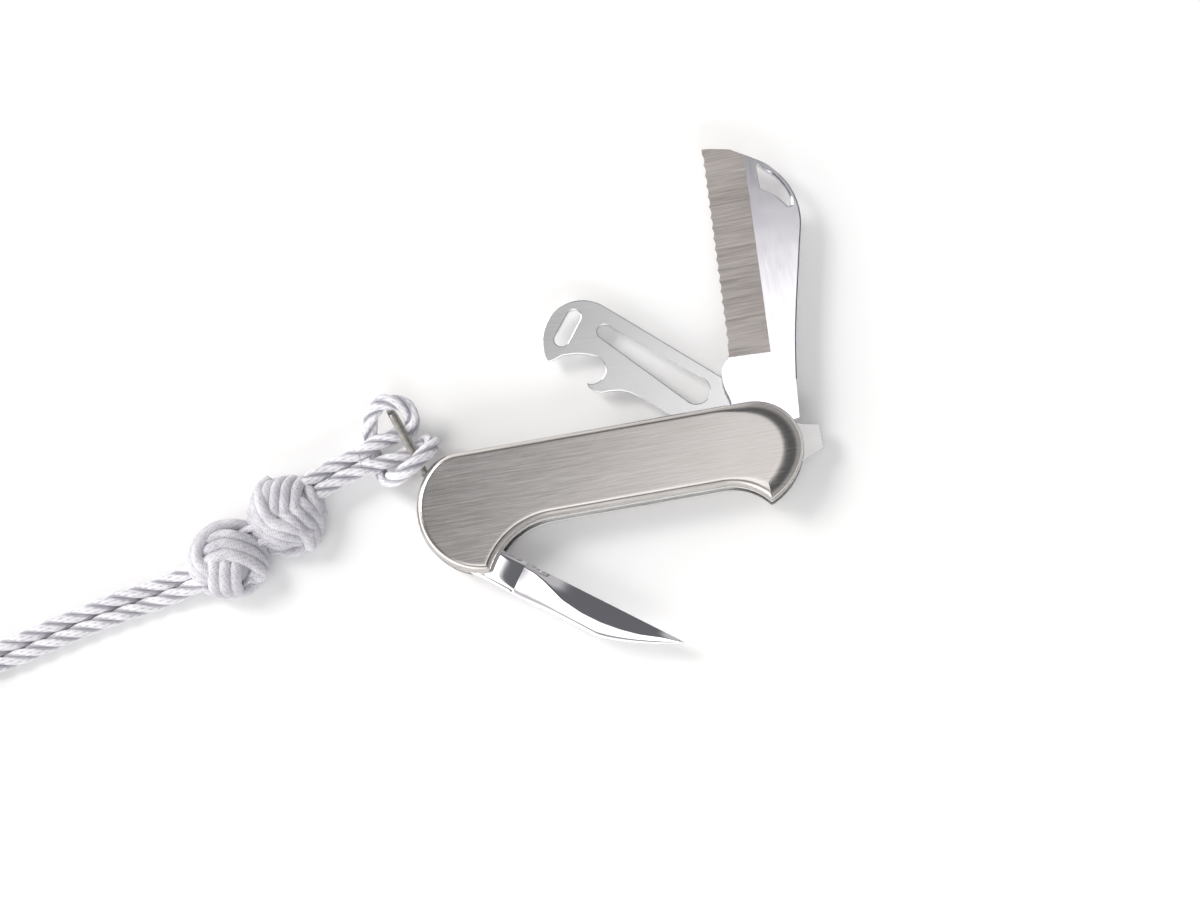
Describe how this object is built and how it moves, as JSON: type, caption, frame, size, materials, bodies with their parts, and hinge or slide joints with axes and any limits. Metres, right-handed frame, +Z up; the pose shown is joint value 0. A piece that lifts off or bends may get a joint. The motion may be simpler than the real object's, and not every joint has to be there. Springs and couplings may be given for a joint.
{
  "type": "rigging knife",
  "caption": "Folding sailor's rigging knife in stainless steel with a sheepsfoot blade, tin and bottle opener, marlin spike, screwdriver tip and a knotted rope lanyard on a bail.",
  "frame": {"origin": "on the blade pivot's axis, at the back scale's outer face, on which the knife lies", "axes": "+X along the handle to the screwdriver tip, +Y to the side that the blade opens to, +Z up from the resting face to the front scale"},
  "size_m": [0.322, 0.1666, 0.0165],
  "materials": {
    "scale_steel": "brushed along the handle, rounded rims",
    "liner_steel": "satin",
    "spring_steel": "satin",
    "pin_steel": "turned",
    "blade_steel": "polished flat with a cross-brushed bevel",
    "opener_steel": "fine satin",
    "spike_steel": "polished",
    "bail_steel": "dull wire",
    "rope": "three-strand laid cord",
    "twine": "whipping twine"
  },
  "bodies": {
    "handle": {"front_scale": "scale_steel", "back_scale": "scale_steel", "front_liner": "liner_steel", "back_liner": "liner_steel", "centre_plate": "liner_steel", "front_scale_studs": "pin_steel", "back_scale_studs": "pin_steel", "blade_spring": "spring_steel", "opener_spring": "spring_steel", "spring_rivets": "pin_steel", "blade_pivot_pin": "pin_steel", "spike_pivot_pin": "pin_steel", "bail_pin": "pin_steel"},
    "blade": {"main_blade": "blade_steel"},
    "opener": {"tin_opener": "opener_steel"},
    "spike": {"marlin_spike": "spike_steel"},
    "bail": {"bail": "bail_steel", "lanyard_hitch": "rope", "lanyard_leg_a": "rope", "lanyard_leg_b": "rope", "lanyard_knot_1": "rope", "lanyard_knot_2": "rope", "lanyard_coil": "rope", "coil_tie": "twine", "end_knot": "rope"}
  },
  "joints": [
    {"name": "blade_pivot", "type": "hinge", "parent": "handle", "child": "blade", "pos_m": [0, 0, 0.0092], "axis": [0, 0, 1], "range_deg": [-87, 91]},
    {"name": "opener_pivot", "type": "hinge", "parent": "handle", "child": "opener", "pos_m": [0, 0, 0.0055], "axis": [0, 0, 1], "range_deg": [-137, 36]},
    {"name": "spike_pivot", "type": "hinge", "parent": "handle", "child": "spike", "pos_m": [-0.0875, -0.0145, 0.0074], "axis": [0, 0, 1], "range_deg": [-136, 36.6]},
    {"name": "bail_swing", "type": "hinge", "parent": "handle", "child": "bail", "pos_m": [-0.0932, 0.0007, 0.0074], "axis": [0, 0, 1], "range_deg": [-10, 0]}
  ]
}
